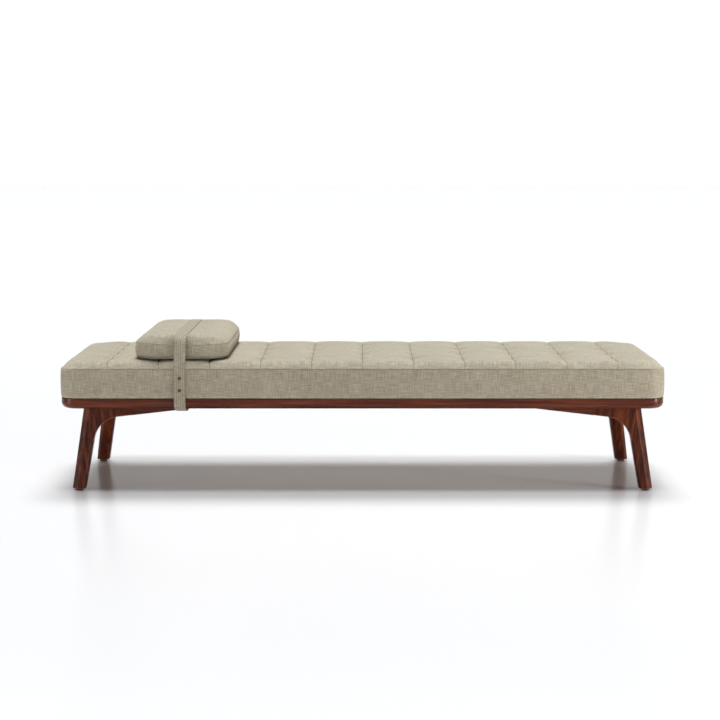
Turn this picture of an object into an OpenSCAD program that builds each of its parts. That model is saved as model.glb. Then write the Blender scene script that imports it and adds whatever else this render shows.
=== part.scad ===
// Low platform daybed: a tufted mattress on a walnut frame with splayed legs,
// and a strapped head cushion that slides along the bed.
// Origin on the floor under the middle of the bed, +X along it, front at -Y, +Z up.

/* [Mattress] */
// Length of the mattress
bed_len = 2032; // [1980:4:2080]
// Depth of the mattress, front to back
bed_dep = 762; // [740:2:780]
// Corner radius of the mattress in plan
bed_corner = 62; // [50:1:70]
// Height of the mattress side band
band_h = 100; // [80:2:120]
// Rise of the quilted top above the side band
crown_h = 26; // [16:1:34]
// Width of the rounded edge of the quilted top
crown_lip = 44; // [24:1:50]

/* [Frame] */
// Height of the rail's underside above the floor
rail_z = 281.5; // [270:0.5:310]
// Thickness of the rails
rail_t = 35.5; // [26:0.5:40]
// Width of the rails in plan
rail_w = 115; // [100:1:125]
// How far the rails sit inside the mattress outline
rail_inset = 3; // [1:0.5:8]
// Radius of the rounded lower edge of the rails
rail_round = 20; // [12:1:24]
// Number of slats
slat_count = 13; // [11:1:15]
// Width of a slat
slat_w = 70; // [50:5:80]
// Thickness of a slat
slat_t = 18; // [15:1:20]

/* [Legs] */
// Width of a leg at the floor
leg_w = 45.6; // [40:0.2:50]
// Width of a leg at the rail
leg_top_w = 54; // [46:0.2:58]
// Leg centre at the floor, in from the mattress end and front
foot_in = 59; // [50:1:70]
// How far the outer edge leans in from floor to rail
lean = 36.9; // [30:0.1:44]
// Radius of the arch between leg and apron
arch_r = 90; // [70:1:100]
// Apron depth below the rail where the arch ends
apron_h = 32.2; // [24:0.1:36]
// Distance from the bed's middle to the thin end of a side apron
apron_tip = 522; // [500:1:600]
// Thickness of the aprons
apron_t = 28; // [22:1:32]

/* [Head cushion] */
// Width of the cushion along the bed
pillow_w = 317; // [260:1:340]
// Depth of the cushion across the bed
pillow_d = 700; // [660:2:720]
// Height of the cushion's side band
pillow_band = 46; // [40:1:56]
// Distance from the bed's middle to the cushion's middle
pillow_x = 610.5; // [600:0.5:620]
// Width of the strap
strap_w = 38.5; // [30:0.5:50]
// Thickness of the strap
strap_t = 1.8; // [1.2:0.1:2.4]

/* [Hidden] */
bed_z = rail_z + rail_t;
band_top = bed_z + band_h;
crown_top = band_top + crown_h;
cloth_t = 3;
rail_len = bed_len - 2 * rail_inset;
rail_dep = bed_dep - 2 * rail_inset;
rail_corner = bed_corner - rail_inset;
inner_x = rail_len / 2 - rail_w;
inner_y = rail_dep / 2 - rail_w;
rebate = 20;
glide_h = 6;
slope = lean / rail_z;
foot_x = bed_len / 2 - foot_in;
foot_y = bed_dep / 2 - foot_in;
outer_x = foot_x + leg_w / 2;
outer_y = foot_y + leg_w / 2;
top_x = outer_x - lean - leg_top_w / 2;
top_y = outer_y - lean - leg_top_w / 2;
in_slope = (lean + leg_top_w - leg_w) / rail_z;
wing_in = 3;
wing_end = 24;
apron_z = rail_z - apron_h;
butt_x = foot_x - leg_w / 2 - in_slope * apron_z - arch_r - wing_end;
butt_y = foot_y - leg_w / 2 - in_slope * apron_z - arch_r - wing_end;
side_rise = apron_h / (butt_x + wing_end - apron_tip);
beam_w = 60;
beam_t = 16;
dowel_r = 4;
rail_dowel_r = 5;
bolt_r = 4;
screw_r = 1.9;
fit = 0.05;
pillow_z = crown_top + 0.5;
pillow_low = 6.5;
pillow_seam = pillow_z + pillow_low + pillow_band;
pillow_crown = 30;
pillow_corner = 70;
pillow_cloth = 2;
layer_y = bed_dep / 2 + 0.4 + strap_t / 2;
tail_y = layer_y + strap_t + 2;
hinge_z = band_top + 7;
hinge_gap = 1.3;
strap_low = rail_z - 15;
snap_z = [bed_z + 28, bed_z + 69];
snap_r = 6;
skin = 0.01;

slat_names = [for (i = [1:slat_count]) str("slat_", i)];
slat_pitch = 2 * inner_x / slat_count;

// ---------- shared shapes ----------

// Rounded rectangle in plan, as one closed outline
function round_plan(l, d, r, n = 8) = [
    for (q = [0:3], i = [0:n])
        let (a = 90 * (q + i / n), sx = (q == 0 || q == 3) ? 1 : -1, sy = q < 2 ? 1 : -1)
        [sx * (l / 2 - r) + r * cos(a), sy * (d / 2 - r) + r * sin(a)]];

module plate(l, d, r, z0, z1) {
    translate([0, 0, z0]) linear_extrude(z1 - z0) polygon(round_plan(l, d, r));
}

// Plate whose edge rounds over by lip from z_from to z_to
module rounded_plate(l, d, r, z_from, z_to, lip, n = 6) {
    rise = z_to - z_from;
    way = sign(rise);
    hull() for (i = [0:n]) {
        a = 90 * i / n;
        inset = lip * (1 - cos(a));
        z = z_from + way * skin / 2 + (rise - way * skin) * sin(a);
        plate(l - 2 * inset, d - 2 * inset, max(r - inset, 4), z - skin / 2, z + skin / 2);
    }
}

// Places children, drawn for the front left corner, at any corner
module at_corner(sx, sy) {
    mirror([sx > 0 ? 1 : 0, 0, 0]) mirror([0, sy > 0 ? 1 : 0, 0]) children();
}

module each_corner() {
    for (sx = [-1, 1], sy = [-1, 1]) at_corner(sx, sy) children();
}

module rod_x(r, x0, x1) { translate([x0, 0, 0]) rotate([0, 90, 0]) cylinder(r = r, h = x1 - x0, $fn = 32); }
module rod_y(r, y0, y1) { translate([0, y0, 0]) rotate([-90, 0, 0]) cylinder(r = r, h = y1 - y0, $fn = 32); }
module rod_z(r, z0, z1) { translate([0, 0, z0]) cylinder(r = r, h = z1 - z0, $fn = 32); }

// ---------- rails ----------

module rim() {
    rounded_plate(rail_len, rail_dep, rail_corner, rail_z + rail_round, rail_z, rail_round);
    plate(rail_len, rail_dep, rail_corner, rail_z + rail_round, bed_z);
}

// Two dowels at each corner joint of the rails, on the end rail's end
module rail_dowel_places() {
    for (x = [30, 85]) translate([-rail_len / 2 + x, 0, rail_z + rail_t / 2]) children();
}

module leg_bolt_place() { translate([-top_x, -top_y, 0]) children(); }

// Slat screws along the front rail
module slat_screw_places() {
    for (i = [1:slat_count])
        translate([-inner_x + slat_pitch * (i - 0.5), -inner_y - rebate / 2, 0]) children();
}

module long_rail() {
    difference() {
        intersection() {
            rim();
            translate([-rail_len, -rail_dep, 0]) cube([2 * rail_len, rail_dep - inner_y, bed_z]);
        }
        translate([-inner_x, -inner_y - rebate, bed_z - slat_t])
            cube([2 * inner_x, rebate + 1, slat_t + 1]);
        for (s = [0, 1]) mirror([s, 0, 0]) {
            rail_dowel_places() rod_y(rail_dowel_r + fit, -inner_y - 30, -inner_y + 1);
            leg_bolt_place() rod_z(bolt_r + fit, rail_z - 1, rail_z + 22);
        }
        slat_screw_places() rod_z(screw_r + fit, rail_z + 2, bed_z - slat_t + 1);
    }
}

module end_rail() {
    difference() {
        intersection() {
            rim();
            translate([-rail_len, -inner_y, 0]) cube([rail_len - inner_x, 2 * inner_y, bed_z]);
        }
        translate([-inner_x - 40, -beam_w / 2, rail_z - 1]) cube([41, beam_w, bed_z - slat_t - rail_z + 1]);
        for (s = [0, 1]) mirror([0, s, 0])
            rail_dowel_places() rod_y(rail_dowel_r + fit, -inner_y - 1, -inner_y + 30);
        for (y = [-15, 15]) translate([-inner_x - 20, y, 0]) rod_z(screw_r + fit, rail_z, bed_z - 8);
    }
}

module front_rail() { color("#5b3429") long_rail(); }
module back_rail() { color("#5b3429") mirror([0, 1, 0]) long_rail(); }
module left_end_rail() { color("#5b3429") end_rail(); }
module right_end_rail() { color("#5b3429") mirror([1, 0, 0]) end_rail(); }
module rail_dowels() {
    color("#c9a878") each_corner() rail_dowel_places()
        rod_y(rail_dowel_r, -inner_y - 29, -inner_y + 29);
}

// ---------- legs and aprons ----------

// Eight-sided leg section: a broad chamfer on the outer corner, small ones elsewhere
function leg_section(w) = let (h = w / 2, big = 0.38 * w, small = 0.2 * w) [
    [-h, -h + big], [-h + big, -h], [h - small, -h], [h, -h + small],
    [h, h - small], [h - small, h], [-h + small, h], [-h, h - small]];

// Outline of the arched web, from inside the leg to its squared end; u runs inward from
// the leg's foot centre and bottom_slope is the apron's rise for each unit of u
module web_outline(bottom_slope, u_end) {
    edge = leg_w / 2;
    edge_len = sqrt(1 + in_slope * in_slope);
    low_len = sqrt(1 + bottom_slope * bottom_slope);
    u_ref = edge + in_slope * apron_z + arch_r;
    // centre of the arch, arch_r from the leg's inner edge and from the apron's lower edge
    k = edge + arch_r * edge_len;
    low = apron_z - bottom_slope * u_ref - arch_r * low_len;
    cu = (k + in_slope * low) / (1 - in_slope * bottom_slope);
    cz = low + bottom_slope * cu;
    a0 = 180 - atan(in_slope);
    a1 = 90 + atan(bottom_slope);
    steps = 16;
    arc = [for (i = [0:steps]) let (a = a0 + (a1 - a0) * i / steps)
        [cu + arch_r * cos(a), cz + arch_r * sin(a)]];
    polygon(concat(
        [[in_slope * cz, cz - arch_r * in_slope]],
        arc,
        [[u_end, apron_z + bottom_slope * (u_end - u_ref)],
         [u_end, rail_z],
         [lean, rail_z]]));
}

// Leaning board from the floor to the rail, as its section across: v runs inward
module leaning_section(start) {
    polygon([[start, 0], [start + apron_t, 0],
        [start + apron_t + slope * rail_z, rail_z], [start + slope * rail_z, rail_z]]);
}

// A web along X that leans with the leg, its lower edge level across
module web_x(bottom_slope, u_end) {
    intersection() {
        translate([-foot_x, 0, 0]) rotate([90, 0, 0]) linear_extrude(bed_dep)
            web_outline(bottom_slope, u_end);
        translate([-bed_len, 0, 0]) rotate([90, 0, 90]) linear_extrude(2 * bed_len)
            leaning_section(-outer_y + wing_in);
    }
}

// The same web along Y
module web_y(u_end) {
    intersection() {
        translate([-bed_len, -foot_y, 0]) rotate([90, 0, 90]) linear_extrude(bed_len)
            web_outline(0, u_end);
        translate([0, bed_dep, 0]) rotate([90, 0, 0]) linear_extrude(2 * bed_dep)
            leaning_section(-outer_x + wing_in);
    }
}

web_mid_y = outer_y - wing_in - apron_t / 2 - slope * (rail_z - 14);
web_mid_x = outer_x - wing_in - apron_t / 2 - slope * (rail_z - 14);

module side_dowel_place() { translate([0, -web_mid_y, rail_z - 14]) children(); }
module end_dowel_place() { translate([-web_mid_x, 0, rail_z - 14]) children(); }

module leg() {
    difference() {
        union() {
            hull() {
                translate([-foot_x, -foot_y, glide_h]) linear_extrude(skin)
                    polygon(leg_section(leg_w));
                translate([-top_x, -top_y, rail_z - skin]) linear_extrude(skin)
                    polygon(leg_section(leg_top_w));
            }
            web_x(side_rise, foot_x - butt_x);
            web_y(foot_y - butt_y);
        }
        leg_bolt_place() rod_z(bolt_r + fit, rail_z - 45, rail_z + 1);
        side_dowel_place() rod_x(dowel_r + fit, -butt_x - 18, -butt_x + 1);
        end_dowel_place() rod_y(dowel_r + fit, -butt_y - 18, -butt_y + 1);
        translate([-foot_x, -foot_y, 0]) rod_z(screw_r + fit, 0, glide_h + 18);
    }
}

module side_apron() {
    difference() {
        intersection() {
            web_x(side_rise, foot_x - apron_tip - 6);
            translate([-butt_x, -bed_dep, 0]) cube([bed_len, bed_dep, rail_z]);
        }
        side_dowel_place() rod_x(dowel_r + fit, -butt_x - 1, -butt_x + 18);
    }
}

module end_apron() {
    difference() {
        intersection() {
            web_y(foot_y + butt_y);
            translate([-bed_len, -butt_y, 0]) cube([bed_len, 2 * butt_y, rail_z]);
        }
        for (s = [0, 1]) mirror([0, s, 0])
            end_dowel_place() rod_y(dowel_r + fit, -butt_y - 1, -butt_y + 18);
    }
}

module front_left_leg() { color("#5f3e33") leg(); }
module front_right_leg() { color("#5f3e33") at_corner(1, -1) leg(); }
module back_left_leg() { color("#5f3e33") at_corner(-1, 1) leg(); }
module back_right_leg() { color("#5f3e33") at_corner(1, 1) leg(); }
module leg_bolts() {
    color("#8f9093") each_corner() leg_bolt_place() rod_z(bolt_r, rail_z - 44, rail_z + 21);
}

module front_left_apron() { color("#3f251e") side_apron(); }
module front_right_apron() { color("#3f251e") at_corner(1, -1) side_apron(); }
module back_left_apron() { color("#3f251e") at_corner(-1, 1) side_apron(); }
module back_right_apron() { color("#3f251e") at_corner(1, 1) side_apron(); }
module left_end_apron() { color("#3f251e") end_apron(); }
module right_end_apron() { color("#3f251e") mirror([1, 0, 0]) end_apron(); }
module apron_dowels() {
    color("#c9a878") each_corner() {
        side_dowel_place() rod_x(dowel_r, -butt_x - 17, -butt_x + 17);
        end_dowel_place() rod_y(dowel_r, -butt_y - 17, -butt_y + 17);
    }
}

// ---------- slat base ----------

// Two screws up through each end of the beam, into the notch of the end rail
module beam_screw_places() {
    for (sx = [-1, 1], y = [-15, 15]) translate([sx * (inner_x + 20), y, 0]) children();
}

module centre_beam() {
    color("#b98f62") difference() {
        translate([-inner_x - 40, -beam_w / 2, bed_z - slat_t - beam_t])
            cube([2 * inner_x + 80, beam_w, beam_t]);
        beam_screw_places() rod_z(screw_r + fit, rail_z - beam_t, bed_z);
    }
}

module beam_screws() {
    color("#8f9093") beam_screw_places() rod_z(screw_r, bed_z - slat_t - beam_t + 1, bed_z - 9);
}

module slat(i) {
    color("#c9a878") difference() {
        translate([-inner_x + slat_pitch * (i - 0.5) - slat_w / 2, -inner_y - rebate + 0.5, bed_z - slat_t])
            cube([slat_w, 2 * (inner_y + rebate) - 1, slat_t]);
        for (s = [0, 1]) mirror([0, s, 0]) slat_screw_places() {
            rod_z(screw_r + fit, rail_z, bed_z + 1);
            translate([0, 0, bed_z - 3]) cylinder(r1 = screw_r + fit, r2 = 4.3, h = 3, $fn = 32);
        }
    }
}

module slat_screws() {
    color("#8f9093") for (s = [0, 1]) mirror([0, s, 0]) slat_screw_places() {
        rod_z(screw_r, rail_z + 3, bed_z - 2);
        translate([0, 0, bed_z - 3]) cylinder(r1 = screw_r, r2 = 3.85, h = 2.6, $fn = 32);
    }
}

// ---------- feet ----------

module leg_glides() {
    color("#1d1b1a") each_corner() translate([-foot_x, -foot_y, 0]) difference() {
        union() {
            cylinder(r1 = 12.5, r2 = 13.5, h = 2, $fn = 48);
            translate([0, 0, 2]) cylinder(r = 13.5, h = glide_h - 2, $fn = 48);
        }
        rod_z(screw_r + fit, 0.5, glide_h + 1);
    }
}

module glide_screws() {
    color("#8f9093") each_corner() translate([-foot_x, -foot_y, 0])
        rod_z(screw_r, 1, glide_h + 17);
}

// ---------- mattress ----------

module mattress_top_panel() {
    color("#c4bdad") rounded_plate(bed_len, bed_dep, bed_corner, band_top, crown_top, crown_lip);
}

module mattress_side_band() {
    color("#968c7a") difference() {
        plate(bed_len, bed_dep, bed_corner, bed_z, band_top);
        plate(bed_len - 2 * cloth_t, bed_dep - 2 * cloth_t, bed_corner - cloth_t, bed_z - 1, band_top + 1);
    }
}

module mattress_bottom_panel() {
    color("#4a4642") plate(bed_len - 2 * cloth_t - 0.4, bed_dep - 2 * cloth_t - 0.4,
        bed_corner - cloth_t, bed_z, bed_z + cloth_t);
}

module mattress_core() {
    color("#e8e0c8") plate(bed_len - 2 * cloth_t - 0.6, bed_dep - 2 * cloth_t - 0.6,
        bed_corner - cloth_t, bed_z + cloth_t, band_top);
}

// ---------- strap line, seen from the bed's left end as [y, z] ----------

strap_edge = [pillow_d / 2 + 2, pillow_seam - 11];
strap_peak = pillow_seam + pillow_crown - 1.5;
strap_lip = 48;
turn_r = rail_round + 2;
apron_in = 78;

// Turn round a rail's lower edge, then down to clear the aprons
function under_turn(side) = let (
    turn = [for (a = [0:16:80]) [side * (rail_dep / 2 - rail_round + turn_r * cos(a)),
        rail_z + rail_round - turn_r * sin(a)]],
    line = concat([[side * layer_y, bed_z - 1]], turn, [[side * (bed_dep / 2 - apron_in), strap_low]]))
    side < 0 ? line : [for (i = [len(line) - 1:-1:0]) line[i]];

// Over the cushion, from back to front
arch_back = [for (a = [0:15:90])
    [strap_edge[0] - strap_lip * (1 - cos(a)),
     strap_edge[1] + (strap_peak - strap_edge[1]) * sin(a)]];
arch_line = concat(arch_back, [for (i = [len(arch_back) - 1:-1:0]) [-arch_back[i][0], arch_back[i][1]]]);

strap_line = concat(
    [[-layer_y, band_top - 12]],
    under_turn(-1),
    under_turn(1),
    [[layer_y, band_top + 9]],
    arch_line,
    [[-tail_y, hinge_z + hinge_gap]]);

function unit(v) = v / norm(v);
function left_of(v) = [-v[1], v[0]];

// A line of points moved sideways by d, to the left of its direction
function shifted(line, d) = let (
    last = len(line) - 1,
    dirs = [for (i = [0:last - 1]) unit(line[i + 1] - line[i])])
    [for (i = [0:last])
        let (a = dirs[max(i - 1, 0)], b = dirs[min(i, last - 1)], m = unit(left_of(a) + left_of(b)))
        line[i] + m * d / (m * left_of(b))];

// Band of thickness t along a line of points, as one closed outline
function ribbon(line, t) = let (back = shifted(line, -t / 2))
    concat(shifted(line, t / 2), [for (i = [len(back) - 1:-1:0]) back[i]]);

// Extrudes a [y, z] outline along X, centred on the cushion
module across(width) {
    translate([-pillow_x - width / 2, 0, 0]) rotate([90, 0, 90]) linear_extrude(width) children();
}

module rod_at_snaps(r, y0, y1) {
    for (z = snap_z) translate([-pillow_x, 0, z]) rod_y(r, -y0, -y1);
}

module strap_band() {
    color("#918775") difference() {
        across(strap_w) polygon(ribbon(strap_line, strap_t));
        rod_at_snaps(screw_r - 0.3 + fit, layer_y + 2, layer_y - 2);
    }
}

module strap_tail() {
    color("#918775") difference() {
        across(strap_w) polygon(ribbon([[-tail_y, hinge_z], [-tail_y, bed_z]], strap_t));
        rod_at_snaps(screw_r - 0.3 + fit, tail_y + 2, tail_y - 2);
    }
}

module snap_caps() {
    face = tail_y + strap_t / 2;
    color("#a07a55") {
        rod_at_snaps(snap_r, face + 0.8, face);
        for (z = snap_z) translate([-pillow_x, -face - 0.8, z]) rotate([90, 0, 0])
            cylinder(r1 = snap_r, r2 = snap_r - 2, h = 0.9, $fn = 48);
        rod_at_snaps(screw_r - 0.3, face, face - strap_t);
    }
}

module snap_sockets() {
    back = tail_y - strap_t / 2;
    color("#a07a55") difference() {
        rod_at_snaps(snap_r - 0.5, back, back - 1.6);
        rod_at_snaps(3.3, back - 0.4, back - 2);
    }
}

module snap_studs() {
    face = layer_y + strap_t / 2;
    color("#a07a55") {
        rod_at_snaps(snap_r - 0.5, face + 0.15, face);
        rod_at_snaps(2.95, face + 1.5, face + 0.15);
        rod_at_snaps(screw_r - 0.3, face, face - strap_t);
    }
}

// ---------- head cushion ----------

// The dent that the strap presses into the cushion
module strap_dent() {
    line = shifted(arch_line, strap_t / 2 + 0.1);
    across(strap_w + 1) polygon(concat(line,
        [[-pillow_d, strap_edge[1]], [-pillow_d, pillow_seam + 60],
         [pillow_d, pillow_seam + 60], [pillow_d, strap_edge[1]]]));
}

module at_cushion() { translate([-pillow_x, 0, 0]) children(); }

module cushion_top_panel() {
    color("#c8c0b2") difference() {
        at_cushion() rounded_plate(pillow_w, pillow_d, pillow_corner,
            pillow_seam, pillow_seam + pillow_crown, 42);
        strap_dent();
    }
}

module cushion_side_band() {
    inner = 2 * pillow_cloth;
    color("#8b816f") difference() {
        at_cushion() plate(pillow_w, pillow_d, pillow_corner, pillow_z + pillow_low, pillow_seam);
        at_cushion() plate(pillow_w - inner, pillow_d - inner, pillow_corner - pillow_cloth,
            pillow_z, pillow_seam + 1);
        strap_dent();
    }
}

module cushion_bottom_panel() {
    color("#8b816f") at_cushion() rounded_plate(pillow_w, pillow_d, pillow_corner,
        pillow_z + pillow_low, pillow_z, 30);
}

module cushion_core() {
    inner = 2 * pillow_cloth + 0.6;
    color("#efe9d8") difference() {
        at_cushion() plate(pillow_w - inner, pillow_d - inner, pillow_corner - pillow_cloth,
            pillow_z + pillow_low, pillow_seam);
        strap_dent();
    }
}

front_rail();
back_rail();
left_end_rail();
right_end_rail();
rail_dowels();
front_left_leg();
front_right_leg();
back_left_leg();
back_right_leg();
leg_bolts();
front_left_apron();
front_right_apron();
back_left_apron();
back_right_apron();
left_end_apron();
right_end_apron();
apron_dowels();
centre_beam();
beam_screws();
for (i = [1:slat_count]) slat(i);
slat_screws();
leg_glides();
glide_screws();
mattress_top_panel();
mattress_side_band();
mattress_bottom_panel();
mattress_core();
cushion_top_panel();
cushion_side_band();
cushion_bottom_panel();
cushion_core();
strap_band();
strap_tail();
snap_caps();
snap_sockets();
snap_studs();
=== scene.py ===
"""A low daybed: tufted mattress on a walnut frame, with a strapped head cushion.

The script follows the daybed as it is put together: rails, legs, aprons, slat base, feet,
mattress, head cushion, strap and snaps. Metres, +X along the bed, front at -Y, +Z up.
"""

import math

import bmesh
import bpy
import numpy as np
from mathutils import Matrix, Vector


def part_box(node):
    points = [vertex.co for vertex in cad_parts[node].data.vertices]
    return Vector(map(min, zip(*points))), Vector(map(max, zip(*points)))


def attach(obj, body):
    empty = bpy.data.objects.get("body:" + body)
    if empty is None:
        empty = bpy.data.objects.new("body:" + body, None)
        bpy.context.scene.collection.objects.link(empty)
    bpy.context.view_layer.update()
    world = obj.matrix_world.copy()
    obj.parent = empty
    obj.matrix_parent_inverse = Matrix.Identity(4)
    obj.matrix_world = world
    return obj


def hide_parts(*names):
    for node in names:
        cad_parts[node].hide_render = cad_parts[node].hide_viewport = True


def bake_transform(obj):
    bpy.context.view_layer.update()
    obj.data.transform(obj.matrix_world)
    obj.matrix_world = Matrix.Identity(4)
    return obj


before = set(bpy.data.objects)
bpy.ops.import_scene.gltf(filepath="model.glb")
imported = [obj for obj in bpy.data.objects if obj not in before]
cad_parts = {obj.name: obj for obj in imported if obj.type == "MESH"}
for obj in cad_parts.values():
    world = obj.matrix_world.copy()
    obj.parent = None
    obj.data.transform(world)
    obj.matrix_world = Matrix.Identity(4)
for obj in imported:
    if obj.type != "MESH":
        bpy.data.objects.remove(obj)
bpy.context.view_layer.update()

# ------------------------------------------------------------
# Camera: a long lens nearly 7 m in front of the bed, a little above it and tipped down, so
# that the top of the mattress shows as a shallow band.
# ------------------------------------------------------------
band_low, band_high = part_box("mattress_side_band")
half_length, half_depth = band_high.x, band_high.y

camera_place = (-0.0083, -half_depth - 6.64, 1.150)
camera_tip = math.radians(6.04)
camera_data = bpy.data.cameras.new("camera")
camera_data.sensor_width = 36
camera_data.lens = 100.2
camera_data.clip_end = 60
camera = bpy.data.objects.new("camera", camera_data)
camera.location = camera_place
camera.rotation_euler = (math.radians(90) - camera_tip, 0, 0)
bpy.context.scene.collection.objects.link(camera)
bpy.context.scene.camera = camera


# ------------------------------------------------------------
# Rails: four flat walnut boards, 115 by 35.5 mm, dowelled into a rim with round corners.
# The lower outer edge is turned to a 20 mm radius and the top edge is only eased. They
# are stained a red brown and sprayed with satin lacquer, so the grain shows as streaks.
# ------------------------------------------------------------
def colour(hexcode):
    """An sRGB hex colour as the linear colour that shaders take."""
    parts = [int(hexcode[i:i + 2], 16) / 255 for i in (1, 3, 5)]
    return tuple(c / 12.92 if c <= 0.04045 else ((c + 0.055) / 1.055) ** 2.4 for c in parts) + (1,)


def add(tree, kind, inputs=None, settings=None):
    """Adds one node, sets its properties, and sets or links its inputs."""
    made = tree.nodes.new(kind)
    for name, value in (settings or {}).items():
        setattr(made, name, value)
    for name, value in (inputs or {}).items():
        if isinstance(value, bpy.types.NodeSocket):
            tree.links.new(value, made.inputs[name])
        else:
            made.inputs[name].default_value = value
    return made


def ramp(tree, factor, stops):
    """A colour ramp through (place, hex colour) stops."""
    made = add(tree, "ShaderNodeValToRGB", {"Fac": factor})
    line = made.color_ramp
    while len(line.elements) < len(stops):
        line.elements.new(0.5)
    for element, (place, hexcode) in zip(line.elements, stops):
        element.position = place
        element.color = colour(hexcode)
    return made.outputs["Color"]


def finish_of(name):
    """A new material with its tree, its Principled node and its Object coordinates."""
    made = bpy.data.materials.new(name)
    made.use_nodes = True
    tree = made.node_tree
    shader = next(n for n in tree.nodes if n.type == "BSDF_PRINCIPLED")
    place = add(tree, "ShaderNodeTexCoord").outputs["Object"]
    return made, tree, shader, place


def stained_walnut(name, turn, stops, offset, sanded=0.0):
    """Walnut with a red brown stain under satin lacquer: long soft streaks from the growth
    rings, short dark pores, and a gloss that the open grain breaks up. turn lays the grain.
    sanded is the strength of a painted highlight: sharp arrises are painted a pale pinkish brown, as the
    light they catch, except where the attribute glued says that they are closed up in a joint."""
    made, tree, shader, place = finish_of(name)
    turned = add(tree, "ShaderNodeMapping", {"Vector": place, "Location": offset, "Rotation": turn})
    # growth rings a few millimetres apart, drawn out along the grain
    long = add(tree, "ShaderNodeMapping", {"Vector": turned.outputs[0], "Scale": (1.3, 34, 34)})
    warp = add(tree, "ShaderNodeTexNoise", {"Vector": long.outputs[0], "Scale": 1.0, "Detail": 3.0})
    bent = add(tree, "ShaderNodeMix", {0: 0.12, 4: long.outputs[0], 5: warp.outputs["Color"]},
               {"data_type": "VECTOR"})
    rings = add(tree, "ShaderNodeTexNoise",
                {"Vector": bent.outputs[1], "Scale": 2.4, "Detail": 6.0, "Roughness": 0.62})
    # pores 0.3 mm wide and 8 mm long are drawn three times as coarse, so that they show
    fine = add(tree, "ShaderNodeMapping", {"Vector": turned.outputs[0], "Scale": (22, 780, 780)})
    pores = add(tree, "ShaderNodeTexNoise", {"Vector": fine.outputs[0], "Scale": 1.0, "Detail": 2.0})
    pore = add(tree, "ShaderNodeMapRange", {"Value": pores.outputs["Fac"], "From Min": 0.33,
                                            "From Max": 0.5, "To Min": 0.72, "To Max": 1.0})
    tone = ramp(tree, rings.outputs["Fac"], stops)
    shade = add(tree, "ShaderNodeMix", {0: 1.0, 6: tone, 7: pore.outputs[0]},
                {"data_type": "RGBA", "blend_type": "MULTIPLY"})
    # painted highlight: sharp arrises that are not glued in a joint are mixed towards a pale pinkish brown,
    # as though they caught the light
    bent_out = add(tree, "ShaderNodeNewGeometry").outputs["Pointiness"]
    glued = add(tree, "ShaderNodeAttribute", settings={"attribute_name": "glued"}).outputs["Fac"]
    open_edge = add(tree, "ShaderNodeMath", {0: bent_out, 1: glued}, {"operation": "SUBTRACT"})
    arris_highlight_share = add(tree, "ShaderNodeMapRange", {"Value": open_edge.outputs[0], "From Min": 0.515,
                                              "From Max": 0.56, "To Max": sanded})
    arris_highlit = add(tree, "ShaderNodeMix", {0: arris_highlight_share.outputs[0], 6: shade.outputs[2], 7: colour("#a97a68")},
               {"data_type": "RGBA"})
    tree.links.new(arris_highlit.outputs[2], shader.inputs["Base Color"])
    gloss = add(tree, "ShaderNodeMapRange", {"Value": rings.outputs["Fac"], "From Min": 0.3,
                                             "From Max": 0.7, "To Min": 0.38, "To Max": 0.28})
    tree.links.new(gloss.outputs[0], shader.inputs["Roughness"])
    grain = add(tree, "ShaderNodeBump", {"Height": pores.outputs["Fac"], "Strength": 0.10,
                                         "Distance": 0.0003})
    tree.links.new(grain.outputs[0], shader.inputs["Normal"])
    shader.inputs["IOR"].default_value = 1.5
    shader.inputs["Specular IOR Level"].default_value = 0.04
    shader.inputs["Coat Weight"].default_value = 0.28
    shader.inputs["Coat Roughness"].default_value = 0.18
    return made


walnut_stops = [(0.3, "#3a150b"), (0.45, "#522314"), (0.55, "#652e1b"), (0.7, "#7f402a")]
leg_stops = [(0.3, "#2c1007"), (0.45, "#47190b"), (0.55, "#5d260f"), (0.7, "#80401f")]
grain_x, grain_y, grain_z = (0, 0, 0), (0, 0, math.radians(90)), (0, math.radians(90), 0)


def smooth_by_angle(obj, degrees):
    """Smooth shading, with edges sharper than this kept crisp."""
    obj.data.shade_smooth()
    obj.data.set_sharp_from_angle(angle=math.radians(degrees))


def new_piece(name, points, faces, materials):
    """A mesh object at the origin, with its place in its mesh."""
    mesh = bpy.data.meshes.new(name)
    mesh.from_pydata([tuple(p) for p in points], [], faces)
    mesh.update()
    for material in materials:
        mesh.materials.append(material)
    obj = bpy.data.objects.new(name, mesh)
    bpy.context.scene.collection.objects.link(obj)
    return obj


def stacked(name, rings, materials):
    """A closed solid from equal rings of points, lowest first, each counter-clockwise."""
    count = len(rings[0])
    points = [p for ring in rings for p in ring]
    faces = [tuple(reversed(range(count)))]
    for k in range(len(rings) - 1):
        low, high = k * count, (k + 1) * count
        for i in range(count):
            j = (i + 1) % count
            faces.append((low + i, low + j, high + j, high + i))
    top = (len(rings) - 1) * count
    faces.append(tuple(range(top, top + count)))
    return new_piece(name, points, faces, materials)


rail_low, rail_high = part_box("front_rail")
end_low, end_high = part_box("left_end_rail")
rail_half, rail_edge = rail_high.x, -rail_low.y
rail_bottom, rail_top = rail_low.z, rail_high.z
inner_x, inner_y = -end_high.x, end_high.y
rail_round, rail_ease, rail_corner = 0.020, 0.0016, 0.059


def rail_levels():
    """(height, inset) of the rim's outer edge: turned below, flat, then eased on top."""
    levels = []
    for k in range(11):
        a = math.radians(9 * k)
        levels.append((rail_bottom + rail_round * (1 - math.cos(a)), rail_round * (1 - math.sin(a))))
    for k in range(4):
        a = math.radians(30 * k)
        levels.append((rail_top - rail_ease * (1 - math.sin(a)), rail_ease * (1 - math.cos(a))))
    return levels


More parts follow.
